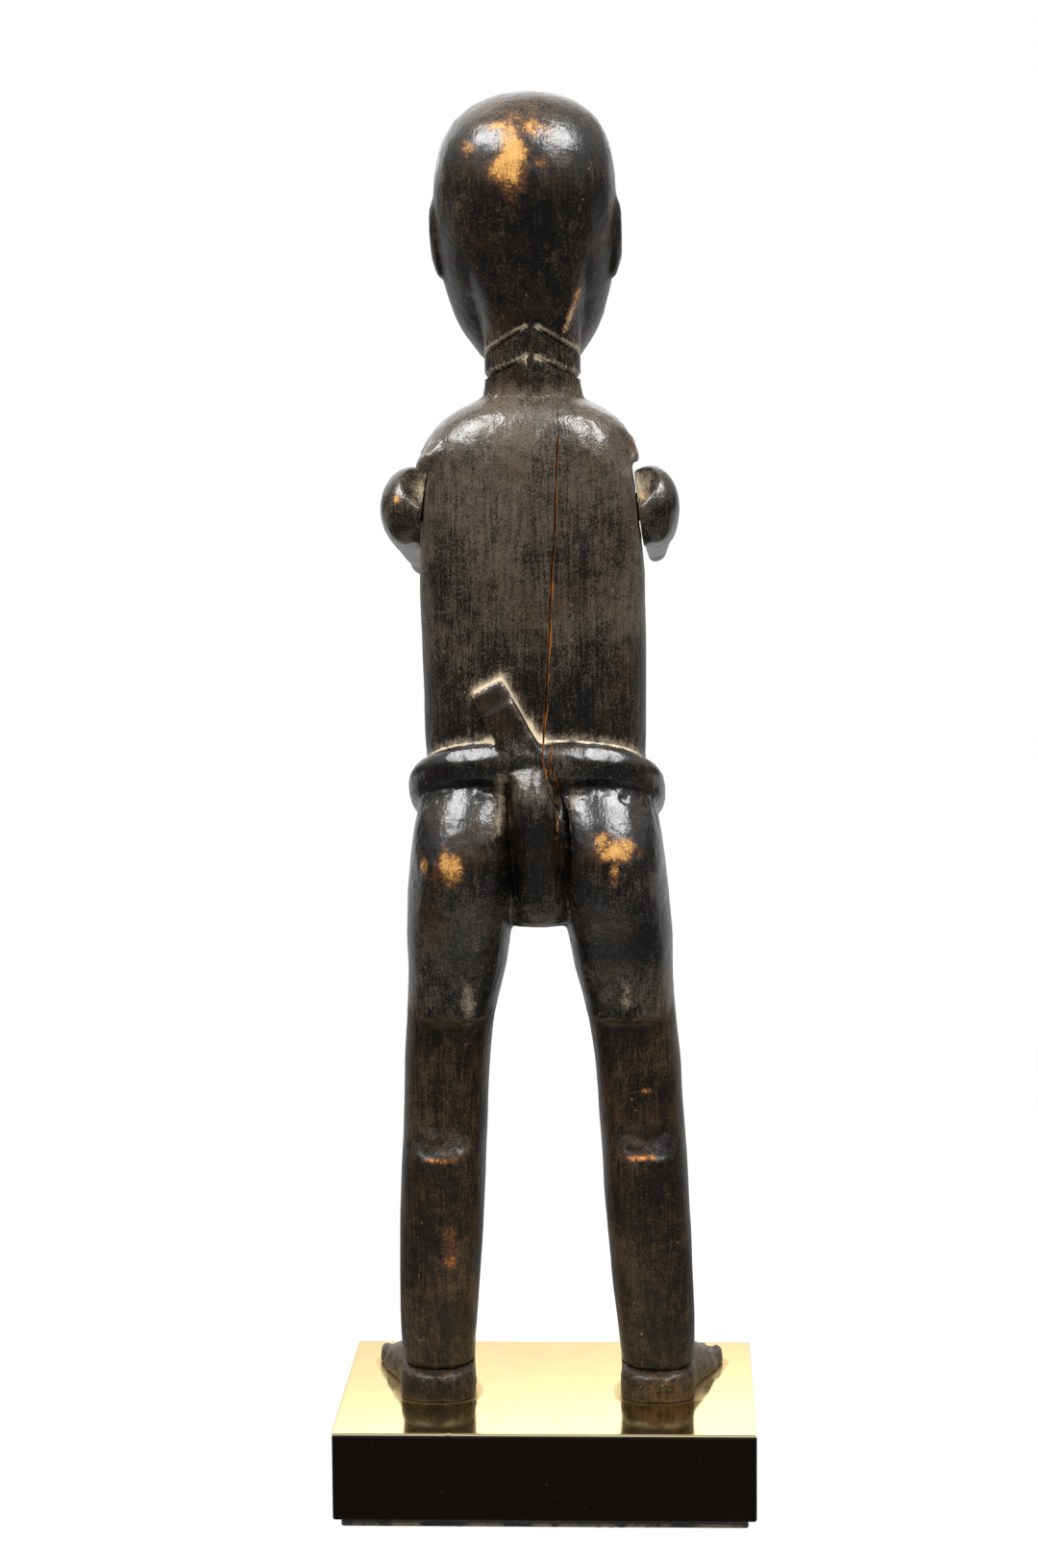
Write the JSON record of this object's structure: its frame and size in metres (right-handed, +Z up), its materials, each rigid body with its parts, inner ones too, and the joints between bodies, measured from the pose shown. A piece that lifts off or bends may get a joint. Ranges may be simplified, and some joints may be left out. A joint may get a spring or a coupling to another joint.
{
  "type": "carved ancestor figure",
  "caption": "Standing carved wooden ancestor figure with pegged, forward-reaching arms and a rolled cloth belt, screwed to a black block with a brass top plate.",
  "frame": {"origin": "bottom centre of the stand, on the underside of the felt pad", "axes": "+Z up along the figure, -Y the way the figure faces, +X the figure's left"},
  "size_m": [0.12, 0.1303, 0.403],
  "materials": {
    "patina_wood": "waxed black patina over brown hardwood, satin",
    "peg_wood": "bare turned hardwood",
    "black_wood": "black satin lacquer",
    "brass": "polished, lightly tarnished at the feet",
    "felt": "black pressed felt",
    "steel": "bright zinc plated"
  },
  "bodies": {
    "carving_on_stand": {"body_carving": "patina_wood", "left_shoulder_peg": "peg_wood", "right_shoulder_peg": "peg_wood", "base_block": "black_wood", "brass_plate": "brass", "felt_pad": "felt", "left_foot_screw": "steel", "right_foot_screw": "steel"},
    "left_arm": {"left_arm": "patina_wood"},
    "right_arm": {"right_arm": "patina_wood"}
  },
  "joints": [
    {"name": "left_arm_swing", "type": "hinge", "parent": "carving_on_stand", "child": "left_arm", "pos_m": [0.03327, 0, 0.28607], "axis": [-0.9925, 0, -0.1219], "range_deg": [-75, 45]},
    {"name": "right_arm_swing", "type": "hinge", "parent": "carving_on_stand", "child": "right_arm", "pos_m": [-0.0268, 0, 0.28607], "axis": [-0.9925, 0, 0.1219], "range_deg": [-75, 45]}
  ]
}
